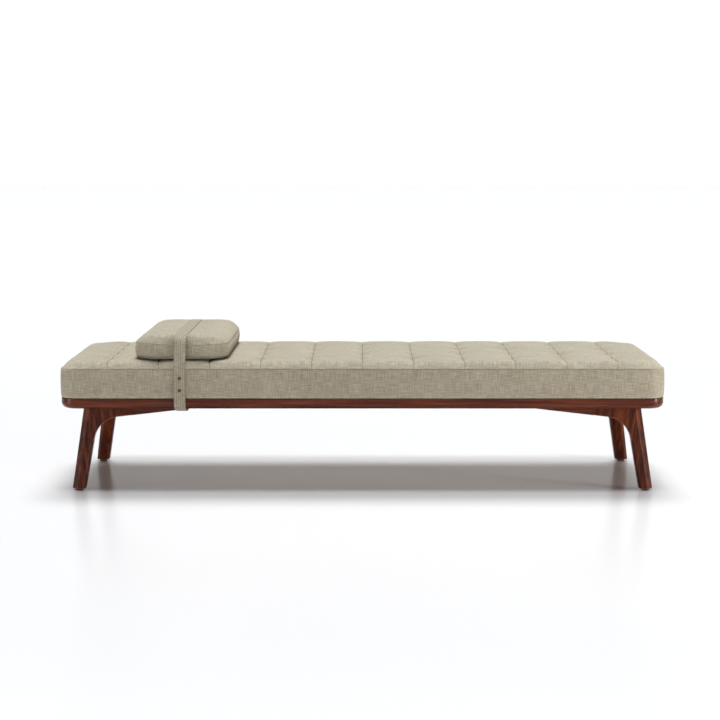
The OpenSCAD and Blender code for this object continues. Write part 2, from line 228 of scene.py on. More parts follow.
def long_rail_ring(inset, z):
    """Outline of the front rail at one height: a board with two round outer corners."""
    ring = [(rail_half - inset, -inner_y, z), (-rail_half + inset, -inner_y, z)]
    radius = rail_corner - inset
    for side in (-1, 1):
        for k in range(17):
            a = math.radians(90 * k / 16)
            reach, drop = (math.cos(a), math.sin(a)) if side < 0 else (math.sin(a), math.cos(a))
            ring.append((side * (rail_half - rail_corner + radius * reach),
                         -(rail_edge - rail_corner + radius * drop), z))
    return ring


def end_rail_ring(inset, z):
    """Outline of the left end rail at one height: a plain board between the long rails."""
    low, high, out = -inner_y, inner_y, -rail_half + inset
    return [(out, high, z), (out, low, z), (-inner_x, low, z), (-inner_x, high, z)]


def flipped(points, x_sign, y_sign):
    """Rings mirrored to another side, kept counter-clockwise."""
    turned = [[(x_sign * x, y_sign * y, z) for x, y, z in ring] for ring in points]
    return turned if x_sign * y_sign > 0 else [list(reversed(ring)) for ring in turned]


def cut_away(obj, low, high):
    """Cuts a box out of a piece, as a router cuts a rebate, and makes the result its mesh."""
    corners = [(x, y, z) for z in (low[2], high[2]) for y in (low[1], high[1]) for x in (low[0], high[0])]
    faces = [(0, 2, 3, 1), (4, 5, 7, 6), (0, 1, 5, 4), (2, 6, 7, 3), (0, 4, 6, 2), (1, 3, 7, 5)]
    cutter = new_piece("cutter", corners, faces, [])
    cut = obj.modifiers.new("cut", "BOOLEAN")
    cut.object = cutter
    cut.operation = "DIFFERENCE"
    settle(obj)
    bpy.data.objects.remove(cutter)


def settle(obj):
    """Makes what the modifiers give the piece's own mesh, and removes them."""
    bpy.context.view_layer.update()
    shaped = bpy.data.meshes.new_from_object(obj.evaluated_get(bpy.context.evaluated_depsgraph_get()))
    obj.modifiers.clear()
    obj.data = shaped


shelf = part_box("slat_1")[0].z
rebate_depth = 0.020
for rail_name, outline, x_sign, y_sign, grain, offset in (
        ("front_rail", long_rail_ring, 1, 1, grain_x, (0, 0, 0)),
        ("back_rail", long_rail_ring, 1, -1, grain_x, (3, 3, 0)),
        ("left_end_rail", end_rail_ring, 1, 1, grain_y, (5, 0, 5)),
        ("right_end_rail", end_rail_ring, -1, 1, grain_y, (8, 0, 8))):
    rings = flipped([outline(inset, z) for z, inset in rail_levels()], x_sign, y_sign)
    wood = stained_walnut("stained_walnut_" + rail_name, grain, walnut_stops, offset)
    rail = stacked(rail_name + "_board", rings, [wood])
    if outline is long_rail_ring:
        edges = sorted((-y_sign * (inner_y - 0.01), -y_sign * (inner_y + rebate_depth)))
        cut_away(rail, (-inner_x, edges[0], shelf), (inner_x, edges[1], rail_top + 0.01))
    smooth_by_angle(rail, 30)
    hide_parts(rail_name)
    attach(rail, "frame")


# ------------------------------------------------------------
# Legs: solid walnut, eight-sided and splayed both ways, each with a web that sweeps up in
# an arch to the aprons. They are shaped by hand, so their arrises are soft and the web
# melts into the post. Each is a copy of the CAD leg with its edges rounded.
# ------------------------------------------------------------
def eased(node, name, voxel, passes, material):
    """A copy of a CAD leg with its arrises sanded round, and its foot left crisp. The ends of
    its webs, which are glued to the aprons, are marked in the attribute glued."""
    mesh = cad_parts[node].data.copy()
    mesh.materials.clear()
    shape = bmesh.new()
    shape.from_mesh(mesh)
    bmesh.ops.remove_doubles(shape, verts=shape.verts, dist=0.00001)
    shape.to_mesh(mesh)
    shape.free()
    obj = bpy.data.objects.new(name, mesh)
    bpy.context.scene.collection.objects.link(obj)
    rebuilt = obj.modifiers.new("rebuild", "REMESH")
    rebuilt.mode = "VOXEL"
    rebuilt.voxel_size = voxel
    settle(obj)
    foot = min(v.co.z for v in obj.data.vertices)
    reached = obj.vertex_groups.new(name="sanded")
    for vertex in obj.data.vertices:
        above_foot = max(0.0, vertex.co.z - foot - 0.003) / 0.012
        reached.add([vertex.index], min(1.0, 0.12 + above_foot), "REPLACE")
    sanded = obj.modifiers.new("sand", "SMOOTH")
    sanded.factor = 0.5
    sanded.iterations = passes
    sanded.vertex_group = "sanded"
    settle(obj)
    obj.vertex_groups.clear()
    low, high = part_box(node)
    end_x, end_y = min(low.x, high.x, key=abs), min(low.y, high.y, key=abs)
    glued = [float(abs(v.co.x - end_x) < 0.004 or abs(v.co.y - end_y) < 0.004) for v in obj.data.vertices]
    obj.data.attributes.new("glued", "FLOAT", "POINT").data.foreach_set("value", glued)
    obj.data.materials.append(material)
    smooth_by_angle(obj, 180)
    return obj


leg_voxel = 0.0014
leg_tilt = math.radians(7.5)
for leg_name in ("front_left_leg", "front_right_leg", "back_left_leg", "back_right_leg"):
    low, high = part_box(leg_name)
    side = -1 if low.x < 0 else 1
    lean = (0, math.radians(90) - side * leg_tilt, 0)
    # the last argument, 0.9, is the strength of the painted highlight on the legs' arrises
    wood = stained_walnut("stained_walnut_" + leg_name, lean, leg_stops, (low.x * 2, low.y * 5, 0.4), 0.9)
    leg = eased(leg_name, leg_name + "_shaped", leg_voxel, 9, wood)
    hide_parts(leg_name)
    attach(leg, "frame")


# ------------------------------------------------------------
# Aprons: walnut boards 28 mm thick that carry the webs on under the rails. The side ones
# taper to nothing along the bed, and the end ones run straight from leg to leg. Each is
# planed, its arrises are eased, and it is stained as the rails are.
# ------------------------------------------------------------
def dress(node, material):
    """Gives a CAD node its real finish."""
    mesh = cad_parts[node].data
    mesh.materials.clear()
    mesh.materials.append(material)


def ease_edges(node, width):
    """Planes the arrises off a CAD board."""
    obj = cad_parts[node]
    obj.modifiers.new("weld", "WELD").merge_threshold = 0.00001
    bevel = obj.modifiers.new("ease", "BEVEL")
    bevel.width = width
    bevel.segments = 2
    bevel.angle_limit = math.radians(50)


for apron_name in ("front_left_apron", "front_right_apron", "back_left_apron", "back_right_apron",
                   "left_end_apron", "right_end_apron"):
    low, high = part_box(apron_name)
    along = grain_y if apron_name.endswith("end_apron") else grain_x
    dress(apron_name, stained_walnut("stained_walnut_" + apron_name, along, walnut_stops,
                                     (low.x * 3, low.y * 2, 0.7)))
    ease_edges(apron_name, 0.0006)


# ------------------------------------------------------------
# Slat base: birch slats screwed into the rebate of the long rails, and a birch beam under
# their middle. The dowels are beech. All of it is sanded and left bare.
# ------------------------------------------------------------
def bare_wood(name, turn, stops, offset):
    """Pale wood, planed and unfinished: fine even grain, no gloss."""
    made, tree, shader, place = finish_of(name)
    turned = add(tree, "ShaderNodeMapping", {"Vector": place, "Location": offset, "Rotation": turn})
    long = add(tree, "ShaderNodeMapping", {"Vector": turned.outputs[0], "Scale": (2.0, 60, 60)})
    rings = add(tree, "ShaderNodeTexNoise", {"Vector": long.outputs[0], "Scale": 1.6, "Detail": 5.0})
    tree.links.new(ramp(tree, rings.outputs["Fac"], stops), shader.inputs["Base Color"])
    grain = add(tree, "ShaderNodeBump", {"Height": rings.outputs["Fac"], "Strength": 0.15,
                                         "Distance": 0.0005})
    tree.links.new(grain.outputs[0], shader.inputs["Normal"])
    shader.inputs["Roughness"].default_value = 0.62
    shader.inputs["IOR"].default_value = 1.5
    return made


birch_stops = [(0.3, "#b08a5c"), (0.5, "#cbab80"), (0.7, "#dcc39d")]
slat_count = sum(1 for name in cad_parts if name.startswith("slat_") and name != "slat_screws")
for i in range(1, slat_count + 1):
    dress(f"slat_{i}", bare_wood(f"bare_birch_slat_{i}", grain_y, birch_stops, (i * 1.7, i * 0.9, 0)))
    ease_edges(f"slat_{i}", 0.0015)
dress("centre_beam", bare_wood("bare_birch_beam", grain_x, birch_stops, (0, 4, 2)))
ease_edges("centre_beam", 0.0015)
beech_stops = [(0.3, "#b9875a"), (0.5, "#cf9f70"), (0.7, "#dcb388")]
dress("rail_dowels", bare_wood("bare_beech_rail_dowels", grain_y, beech_stops, (0, 7, 1)))
dress("apron_dowels", bare_wood("bare_beech_apron_dowels", grain_x, beech_stops, (0, 2, 9)))


# ------------------------------------------------------------
# Fasteners: zinc-plated steel hanger bolts hold the legs to the rails, and zinc-plated
# wood screws hold the slats, the beam and the glides.
# ------------------------------------------------------------
def zinc_plate():
    """Bright zinc on steel: grey, slightly mottled, half-bright."""
    made, tree, shader, place = finish_of("zinc_plated_steel")
    mottle = add(tree, "ShaderNodeTexNoise", {"Vector": place, "Scale": 900.0, "Detail": 2.0})
    tree.links.new(ramp(tree, mottle.outputs["Fac"], [(0.35, "#9a9b9d"), (0.65, "#b9babb")]),
                   shader.inputs["Base Color"])
    rough = add(tree, "ShaderNodeMapRange", {"Value": mottle.outputs["Fac"], "To Min": 0.28,
                                             "To Max": 0.42})
    tree.links.new(rough.outputs[0], shader.inputs["Roughness"])
    shader.inputs["Metallic"].default_value = 1.0
    return made


zinc = zinc_plate()
for node in ("leg_bolts", "beam_screws", "slat_screws", "glide_screws"):
    dress(node, zinc)


# ------------------------------------------------------------
# Glides: turned black nylon discs, 27 mm across, screwed under each leg.
# ------------------------------------------------------------
def moulded_nylon():
    """Black nylon with the fine matt skin of the mould."""
    made, tree, shader, place = finish_of("black_nylon")
    skin = add(tree, "ShaderNodeTexNoise", {"Vector": place, "Scale": 1400.0, "Detail": 1.0})
    tree.links.new(ramp(tree, skin.outputs["Fac"], [(0.3, "#161514"), (0.7, "#24211f")]),
                   shader.inputs["Base Color"])
    grain = add(tree, "ShaderNodeBump", {"Height": skin.outputs["Fac"], "Strength": 0.2,
                                         "Distance": 0.0001})
    tree.links.new(grain.outputs[0], shader.inputs["Normal"])
    shader.inputs["Roughness"].default_value = 0.5
    shader.inputs["IOR"].default_value = 1.53
    return made


dress("leg_glides", moulded_nylon())


# ------------------------------------------------------------
# Mattress: foam in a linen cover, 2032 by 762 mm, with a 100 mm side band. Seams cross the
# quilted top every 171 mm, and four rows of blind tufts pull it down where they meet the
# seams, so that it swells into twelve by five soft squares.
# ------------------------------------------------------------
def linen(name, light, mid, dark, shade, rib=0.0):
    """Plain-woven linen blend, undyed greige: uneven slub threads both ways, with lighter
    and darker yarns side by side, a dry matt face and a little fuzz. Reads the UV in metres.
    rib is how strong the painted shade in the hollows between the lengthwise cords of a webbing is. shade is
    the colour of the painted shade in seams and between cords."""
    made, tree, shader, _ = finish_of(name)
    uv = add(tree, "ShaderNodeUVMap", settings={"uv_map": "cloth"}).outputs[0]
    # slubs: threads about 1.2 mm apart drawn 3 mm apart, so that they show, 60 mm long
    threads = []
    for scale, shift in (((24, 400, 1), (0, 0, 0)), ((400, 24, 1), (3, 5, 0))):
        drawn = add(tree, "ShaderNodeMapping", {"Vector": uv, "Scale": scale, "Location": shift})
        threads.append(add(tree, "ShaderNodeTexNoise",
                           {"Vector": drawn.outputs[0], "Scale": 1.0, "Detail": 3.0, "Roughness": 0.65},
                           {"noise_dimensions": "2D"}).outputs["Fac"])
    both = add(tree, "ShaderNodeMath", {0: threads[0], 1: threads[1]}, {"operation": "ADD"})
    half = add(tree, "ShaderNodeMath", {0: both.outputs[0], 1: 0.5}, {"operation": "MULTIPLY"})
    blotch = add(tree, "ShaderNodeTexNoise", {"Vector": uv, "Scale": 7.0, "Detail": 2.0},
                 {"noise_dimensions": "2D"})
    lift = add(tree, "ShaderNodeMapRange", {"Value": blotch.outputs["Fac"], "To Min": -0.05,
                                            "To Max": 0.05})
    yarn = add(tree, "ShaderNodeMath", {0: half.outputs[0], 1: lift.outputs[0]}, {"operation": "ADD"})
    tone = ramp(tree, yarn.outputs[0], [(0.39, dark), (0.5, mid), (0.61, light)])
    # painted shade: where the attribute seam says, the cloth is mixed towards the shade colour, for the
    # shadow down in a seam's groove
    painted_seam_shade = add(tree, "ShaderNodeAttribute", settings={"attribute_name": "seam"}).outputs["Fac"]
    seam = add(tree, "ShaderNodeMix", {0: painted_seam_shade, 6: tone, 7: colour(shade)}, {"data_type": "RGBA"})
    if rib:
        # painted shade between cords 3 mm apart, drawn 7 mm apart, so that they show
        cords = add(tree, "ShaderNodeTexWave", {"Vector": uv, "Scale": 45.0, "Distortion": 0.0},
                    {"bands_direction": "X"})
        cord_shade = add(tree, "ShaderNodeMath", {0: cords.outputs["Fac"], 1: rib}, {"operation": "MULTIPLY"})
        seam = add(tree, "ShaderNodeMix", {0: cord_shade.outputs[0], 6: seam.outputs[2], 7: colour(shade)},
                   {"data_type": "RGBA"})
    tree.links.new(seam.outputs[2], shader.inputs["Base Color"])
    # the weave itself: one thread over, one under, 2.4 mm for a pair
    split = add(tree, "ShaderNodeSeparateXYZ", {"Vector": uv})
    pair = 2 * math.pi / 0.0024
    waves = []
    for axis in ("X", "Y"):
        turn = add(tree, "ShaderNodeMath", {0: split.outputs[axis], 1: pair}, {"operation": "MULTIPLY"})
        waves.append(add(tree, "ShaderNodeMath", {0: turn.outputs[0]}, {"operation": "SINE"}).outputs[0])
    crossing = add(tree, "ShaderNodeMath", {0: waves[0], 1: waves[1]}, {"operation": "MULTIPLY"})
    height = add(tree, "ShaderNodeMath", {0: crossing.outputs[0], 1: 0.25, 2: half.outputs[0]},
                 {"operation": "MULTIPLY_ADD"})
    face = add(tree, "ShaderNodeBump", {"Height": height.outputs[0], "Strength": 0.25,
                                        "Distance": 0.0009})
    tree.links.new(face.outputs[0], shader.inputs["Normal"])
    shader.inputs["Roughness"].default_value = 0.92
    shader.inputs["IOR"].default_value = 1.45
    shader.inputs["Specular IOR Level"].default_value = 0.2
    shader.inputs["Sheen Weight"].default_value = 0.15
    shader.inputs["Sheen Roughness"].default_value = 0.45
    return made


def lines_between(low, high, inner, step):
    """Sorted cut lines from low to high: the given fine ones, and none further apart than step."""
    fixed = sorted({round(v, 5) for v in inner if low < v < high} | {low, high})
    cuts = []
    for a, b in zip(fixed, fixed[1:]):
        parts = max(1, math.ceil((b - a) / step - 0.2))
        cuts += [a + (b - a) * k / parts for k in range(parts)]
    return np.array(cuts + [high])


def rounded_corner(x, y, half_l, half_d, radius):
    """Bends a square grid's corners, ring by ring, into the arcs of a rounded plan.
    Returns the moved points and each point's distance in from the edge."""
    inset = np.minimum(half_l - np.abs(x), half_d - np.abs(y))
    reach = np.maximum(radius - inset, 0)
    gap_x, gap_y = half_l - inset - np.abs(x), half_d - inset - np.abs(y)
    gap = np.maximum(gap_x, gap_y)
    bent = (reach > 1e-9) & (gap < reach)
    part = np.where(bent, 1 - gap / np.maximum(reach, 1e-9), 0)
    angle = np.where(gap_x >= gap_y, math.pi / 2 - part * math.pi / 4, part * math.pi / 4)
    arc_x = half_l - inset - reach + reach * np.cos(angle)
    arc_y = half_d - inset - reach + reach * np.sin(angle)
    return (np.where(bent, np.sign(x) * arc_x, x), np.where(bent, np.sign(y) * arc_y, y), inset)


def box_cushion(name, xs, ys, radius, top, levels, bottom, material, middle=0.0, seams=None):
    """A sewn box cushion: a top and a bottom panel from one grid of cut lines, joined by a
    side band. top and bottom give the points of their grid from (x, y, inset), and levels are
    the band's (height, way out) from top to bottom. middle is the cushion's place along the
    bed. seams gives how much painted shade each point of the top gets in the seams, from 0 to 1,
    and the seam at the top of the side band always gets some. The UV map is in metres of cloth."""
    half_l, half_d = xs[-1], ys[-1]
    grid_x, grid_y = np.meshgrid(xs, ys, indexing="ij")
    flat_x, flat_y, inset = rounded_corner(grid_x, grid_y, half_l, half_d, radius)
    nx, ny = grid_x.shape
    points = [top(flat_x, flat_y, inset).reshape(-1, 3)]
    number = np.arange(nx * ny).reshape(nx, ny)
    rim = np.concatenate([number[:-1, 0], number[-1, :-1], number[:0:-1, -1], number[0, :0:-1]])
    rim_x, rim_y = flat_x.ravel()[rim], flat_y.ravel()[rim]
    core_x = np.clip(rim_x, -half_l + radius, half_l - radius)
    core_y = np.clip(rim_y, -half_d + radius, half_d - radius)
    out = np.stack([rim_x - core_x, rim_y - core_y], 1)
    out /= np.linalg.norm(out, axis=1)[:, None]
    run = np.concatenate([[0], np.cumsum(np.hypot(np.diff(np.append(rim_x, rim_x[0])),
                                                  np.diff(np.append(rim_y, rim_y[0]))))])
    loops = [rim]
    start = nx * ny
    for height, way in levels:
        way_out = way(rim_x, rim_y) if callable(way) else way
        tall = height(rim_x, rim_y) if callable(height) else height
        ring = np.stack([rim_x + out[:, 0] * way_out, rim_y + out[:, 1] * way_out,
                         np.broadcast_to(tall, rim_x.shape)], 1)
        points.append(ring)
        loops.append(np.arange(start, start + len(rim)))
        start += len(rim)
    faces, cloth = [], []
    plan_u, plan_v = flat_x.ravel(), flat_y.ravel()
    for i in range(nx - 1):
        for j in range(ny - 1):
            face = (number[i, j], number[i + 1, j], number[i + 1, j + 1], number[i, j + 1])
            faces.append(face)
            cloth += [(plan_u[v], plan_v[v]) for v in face]
    if bottom:
        inside = np.ones(nx * ny, bool)
        inside[rim] = False
        points.append(bottom(flat_x, flat_y, inset).reshape(-1, 3)[inside])
        under = np.zeros(nx * ny, int)
        under[inside] = start + np.arange(inside.sum())
        under[rim] = loops[-1]
        under = under.reshape(nx, ny)
        for i in range(nx - 1):
            for j in range(ny - 1):
                corners = ((i, j), (i, j + 1), (i + 1, j + 1), (i + 1, j))
                faces.append(tuple(under[c] for c in corners))
                cloth += [(flat_x[c], flat_y[c]) for c in corners]
    else:
        faces.append(tuple(reversed(loops[-1])))
        cloth += [(rim_x[k], rim_y[k]) for k in reversed(range(len(rim)))]
    all_points = np.concatenate(points)
    for upper, lower in zip(loops, loops[1:]):
        count = len(upper)
        for k in range(count):
            n = (k + 1) % count
            faces.append((upper[k], lower[k], lower[n], upper[n]))
            tall, deep = all_points[upper[k]][2], all_points[lower[k]][2]
            cloth += [(run[k], tall), (run[k], deep), (run[k + 1], deep), (run[k + 1], tall)]
    all_points[:, 0] += middle
    obj = new_piece(name, all_points.tolist(), [tuple(int(v) for v in f) for f in faces], [material])
    layer = obj.data.uv_layers.new(name="cloth")
    layer.data.foreach_set("uv", np.array(cloth, np.float32).ravel())
    # painted shade: how much darker the cloth is painted in the seams' grooves, also round the seam at the
    # top of the side band
    painted_seam_shade = np.zeros(len(all_points), np.float32)
    if seams:
        painted_seam_shade[:nx * ny] = seams(flat_x, flat_y, inset).ravel()
    painted_seam_shade[loops[0]], painted_seam_shade[loops[1]] = np.maximum(painted_seam_shade[loops[0]], 0.1), 0.4
    obj.data.attributes.new("seam", "FLOAT", "POINT").data.foreach_set("value", painted_seam_shade)
    return obj, loops


band_top = band_high.z
crown_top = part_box("mattress_top_panel")[1].z
quilt_pitch, seams_each_way, squares_deep = 0.171, 5, 5
tuft_pitch = 2 * half_depth / squares_deep
seam_places = [k * quilt_pitch for k in range(-seams_each_way, seams_each_way + 1)]
lip, rise = 0.044, crown_top - band_top
side_in, full_swell, mattress_corner = 0.0022, 0.0040, 0.062


def near_seam(x):
    """Distance to the nearest of the eleven seams that cross the top."""
    nearest = np.clip(np.round(x / quilt_pitch), -seams_each_way, seams_each_way)
    return x - nearest * quilt_pitch


def near_tuft_row(y):
    """Distance to the nearest of the four rows of tufts."""
    nearest = np.clip(np.round(y / tuft_pitch - 0.5), -2, 1) + 0.5
    return y - nearest * tuft_pitch


def ripple(a, b, seed, size):
    """Smooth made-up unevenness between -1 and 1, the same every time."""
    found = np.zeros(np.broadcast(a, b).shape)
    for k in range(1, 5):
        turn = seed * 1.7 + k * 2.1
        found += np.sin((a * math.cos(turn) + b * math.sin(turn)) * k / size + turn * 3.3) / k
    return found / 2.1


def filled_out(obj, held, pressure, most):
    """Lets the Cloth solver blow a cover out as its filling does. held is how firmly each
    point is stitched down, and no point goes further than most. Returns how far each went."""
    start = np.array([v.co for v in obj.data.vertices])
    pins = obj.vertex_groups.new(name="stitched")
    for index, weight in enumerate(held):
        pins.add([index], float(weight), "REPLACE")
    solver = obj.modifiers.new("filling", "CLOTH")
    solver.settings.quality = 5
    solver.settings.mass = 0.3
    solver.settings.use_pressure = True
    solver.settings.uniform_pressure_force = pressure
    solver.settings.vertex_group_mass = "stitched"
    solver.settings.effector_weights.gravity = 0
    for frame_number in range(1, 21):
        bpy.context.scene.frame_set(frame_number)
    shaped = obj.evaluated_get(bpy.context.evaluated_depsgraph_get()).data
    way = np.array([v.co for v in shaped.vertices]) - start
    obj.modifiers.clear()
    obj.vertex_groups.clear()
    bpy.context.scene.frame_set(1)
    far = np.linalg.norm(way, axis=1)[:, None]
    return way * np.minimum(1, most / np.maximum(far, 1e-9))


def quilted_top(x, y, inset):
    """The quilted panel: a sloping edge, seams drawn in, and tufts pulled down."""
    part = np.clip(inset / lip, 0, 1)
    corner = np.clip(1 - (half_length - np.abs(x)) / 0.13, 0, 1)
    corner = corner * np.clip(1 - (half_depth - np.abs(y)) / 0.13, 0, 1)
    z = band_top + rise * (1 - (1 - part) ** 2) * (1 - np.minimum(1.15 * corner ** 1.6, 0.8))
    wander = 0.0005 * np.sin(y / 0.016 + x * 7) + 0.0003 * np.sin(y / 0.0047 + x * 9)
    dx = np.abs(near_seam(x) + wander * np.clip(inset / 0.02, 0, 1))
    dy = np.abs(near_tuft_row(y))
    near = np.exp(-(dy / 0.026) ** 2)
    gathers = 0.5 + 0.5 * np.sin(y / 0.0021 + 4 * np.sin(y / 0.013 + x * 5))
    groove = (0.0030 + 0.0010 * near) * np.exp(-(dx / 0.0016) ** 1.3)
    valley = (0.0018 + 0.0022 * near) * np.exp(-(dx / 0.016) ** 2)
    pucker = 0.0005 * gathers * np.exp(-dx / 0.007)
    cross = 0.0016 * np.exp(-(dy / 0.024) ** 2) * (0.22 + 0.78 * np.exp(-(dx / 0.050) ** 2))
    dimple = 0.0048 * np.exp(-(dx / 0.019) ** 2 - (dy / 0.026) ** 2)
    reach = np.hypot(dx, dy)
    crease = np.zeros(x.shape)
    for turn in (24, 50):
        c, s = math.cos(math.radians(turn)), math.sin(math.radians(turn))
        crease += 0.0009 * np.exp(-reach / 0.020) * np.exp(-(np.abs(dx * c - dy * s) / 0.0030) ** 2)
    uneven = 0.0003 * (1 + ripple(x, y, 1, 0.060))
    edge = np.clip(inset / 0.030, 0, 1)
    drop = groove * (0.55 + 0.45 * edge) + (valley + pucker + cross + dimple + crease + uneven) * edge
    z = np.minimum(z - drop - (full_swell - swell) * edge, crown_top)
    shrink = 1 - side_in * (1 - np.clip(inset / 0.02, 0, 1)) / half_depth
    return np.stack([x * shrink, y * shrink, z], -1)


def quilted_seam_shade(x, y, inset):
    """How much painted shade each point of the quilted panel gets, most down the middle of a seam."""
    return 0.40 * np.exp(-(np.abs(near_seam(x)) / 0.0014) ** 2)


tuft_lines = [place + side * off for place in seam_places for side in (-1, 1)
              for off in (0, 0.0007, 0.0015, 0.0025, 0.004, 0.0065, 0.010, 0.015, 0.022, 0.030)]
lip_lines = [lip * k / 10 for k in range(11)]
xs = lines_between(-half_length, half_length,
                   tuft_lines + [s * (half_length - v) for v in lip_lines for s in (-1, 1)], 0.012)
ys = lines_between(-half_depth, half_depth, [s * (half_depth - v) for v in lip_lines for s in (-1, 1)],
                   0.0036)

# a coarse panel is blown up against its seams and tufts, and its swell is laid on the fine one
rough_step_x, rough_step_y = quilt_pitch / 12, tuft_pitch / 10
rough_xs = lines_between(-half_length, half_length, seam_places, rough_step_x)
rough_ys = lines_between(-half_depth, half_depth, [k * tuft_pitch for k in (-1.5, -0.5, 0.5, 1.5)],
                         rough_step_y)
rough_x, rough_y = np.meshgrid(rough_xs, rough_ys, indexing="ij")
on_seam = np.abs(near_seam(rough_x)) < 0.001
on_tuft = on_seam & (np.abs(near_tuft_row(rough_y)) < 0.001)
on_rim = (np.abs(rough_x) > half_length - 0.001) | (np.abs(rough_y) > half_depth - 0.001)
rows, deep = rough_x.shape
quads = [(k, k + deep, k + deep + 1, k + 1) for i in range(rows - 1)
         for k in range(i * deep, i * deep + deep - 1)]
flat = np.stack([rough_x, rough_y, 0 * rough_x], -1).reshape(-1, 3)
panel = new_piece("panel", flat.tolist(), quads, [])
held = np.where(on_rim | on_tuft, 1.0, np.where(on_seam, 0.6, 0.0)).ravel()
swollen = filled_out(panel, held, 4.0, 0.030)[:, 2].reshape(rows, deep)
bpy.data.objects.remove(panel)
swollen = np.clip(swollen * full_swell / np.percentile(swollen, 97), 0, full_swell)
spread_x = np.exp(-0.5 * ((xs[:, None] - rough_xs) / (0.7 * rough_step_x)) ** 2)
spread_y = np.exp(-0.5 * ((ys[:, None] - rough_ys) / (0.7 * rough_step_y)) ** 2)
swell = (spread_x / spread_x.sum(1)[:, None]) @ swollen @ (spread_y / spread_y.sum(1)[:, None]).T


def band_bulge(share):
    """How far the side band stands out at a share of its height."""
    return -side_in + 0.0021 * math.sin(math.pi * share) ** 0.6


band_tall = band_high.z - band_low.z
mattress_levels = [(band_top - 0.0009, -side_in - 0.0016), (band_top - 0.0022, -side_in - 0.0003)]
for k in range(1, 12):
    share = k / 12
    mattress_levels.append((band_top - band_tall * share, band_bulge(share)))
mattress_levels += [(band_low.z + 0.0030, -side_in - 0.0005), (band_low.z + 0.0012, -side_in - 0.0016),
                    (band_low.z + 0.0003, -side_in - 0.0040)]

# light, mid and dark yarns, and the colour of the painted shade in seams and between the strap's cords
greige = ("#b9af9a", "#a79d89", "#948b77", "#655b4a")
mattress_cloth = linen("greige_linen_mattress", *greige)
mattress, _ = box_cushion("mattress", xs, ys, mattress_corner, quilted_top, mattress_levels, None,
                          mattress_cloth, seams=quilted_seam_shade)
smooth_by_angle(mattress, 55)
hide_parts("mattress_top_panel", "mattress_side_band", "mattress_bottom_panel", "mattress_core")
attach(mattress, "frame")


# ------------------------------------------------------------
# Strap line: the strap is one 38.5 mm fabric webbing. From its hidden end behind the snaps it
# goes down the front, under the rails, up the back, over the head cushion and down to the
# front again. The cushion is shaped to it, so its line comes first.
# ------------------------------------------------------------
strap_low, strap_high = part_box("strap_band")
tail_low, tail_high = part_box("strap_tail")
cushion_low, seam_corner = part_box("cushion_side_band")
cushion_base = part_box("cushion_bottom_panel")[0].z
cushion_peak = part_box("cushion_top_panel")[1].z
strap_x = (strap_low.x + strap_high.x) / 2
strap_half = (strap_high.x - strap_low.x) / 2
strap_thick = tail_high.y - tail_low.y
layer_y = strap_high.y - strap_thick / 2
tail_y = -(tail_low.y + tail_high.y) / 2
seam_z = seam_corner.z
edge_y, edge_z = seam_corner.y + 0.002, seam_z - 0.011
cushion_crown = cushion_peak - seam_z
over_lip, over_rise = 0.048, cushion_crown - 0.0015 + 0.011


def askew(y):
    """How far right the cushion and its strap lie at a depth: they sit a little turned."""
    return 0.005 * np.clip((y + seam_corner.y) / (2 * seam_corner.y), 0, 1)


def strap_over(y):
    """Height of the strap's middle where it lies over the cushion: flat, then turned down."""
    part = np.clip((edge_y - np.abs(y)) / over_lip, 0, 1)
    return edge_z + over_rise * np.sqrt(1 - (1 - part) ** 2)


# ------------------------------------------------------------
# Head cushion: a soft box cushion in the same linen, 317 by 700 mm, with a 46 mm side band
# and a full crown. The strap draws it in along its middle, so the top seam dips to the strap
# on both sides.
# ------------------------------------------------------------
cushion_x = (cushion_low.x + seam_corner.x) / 2
cushion_l, cushion_d, cushion_corner = (seam_corner.x - cushion_low.x) / 2, seam_corner.y, 0.082


def drawn_in(x):
    """How far the strap's pull is felt at this distance from its middle, 1 under it."""
    away = np.maximum(np.abs(x) - strap_half, 0)
    return 0.40 * np.exp(-away / 0.010) + 0.60 * np.exp(-(away / 0.060) ** 1.4)


def seam_height(x, y):
    """Height of the cushion's top seam, drawn down beside the strap at the front and back."""
    across = np.clip((np.abs(y) - (cushion_d - 0.07)) / 0.07, 0, 1)
    return seam_z + 0.0035 - 0.0150 * drawn_in(x) * across - 0.004 * np.clip(x / cushion_l, 0, 1)


def cushion_top(x, y, inset):
    """The top panel: a full crown with a round edge, pressed in a little by the strap."""
    part = np.clip(inset / 0.050, 0, 1)
    crest = cushion_peak - 0.0004 - 0.0005 * (1 + ripple(x, y, 2, 0.050))
    low = seam_height(x, y)
    z = low + (crest - low) * (1 - (1 - part) ** 2.1)
    pressed = strap_over(y) - strap_thick / 2 - 0.0004
    gone = np.maximum(z - pressed, 0)
    away = np.maximum(np.abs(x) - strap_half - 0.001, 0)
    z = z - gone * np.exp(-away / 0.0045)
    shrink = 1 - 0.004 * (1 - np.clip(inset / 0.03, 0, 1)) / cushion_d
    bent = 1 - 0.009 * drawn_in(x) * np.clip(1 - inset / 0.05, 0, 1) / cushion_d
    return np.stack([x * shrink, y * shrink * bent, z], -1)


def cushion_bottom(x, y, inset):
    """The bottom panel: nearly flat where it rests on the mattress."""
    part = np.clip(inset / 0.035, 0, 1)
    z = cushion_base + 0.0005 + 0.0085 * (1 - part) ** 2
    return np.stack([x, y, z], -1)


def cushion_bulge(share):
    """How far the cushion's side band stands out at a share of its height, less by the strap."""
    def way(x, y):
        ends = np.clip((np.abs(y) - (cushion_d - 0.06)) / 0.06, 0, 1)
        pulled = 0.008 * drawn_in(x) * ends
        return -0.0040 + 0.0040 * math.sin(math.pi * share) ** 0.7 - pulled
    return way


def cushion_height(share):
    """Height of the side band's cloth at a share of the way down."""
    def tall(x, y):
        high = seam_height(x, y)
        return high + (cushion_base + 0.0095 - high) * share
    return tall


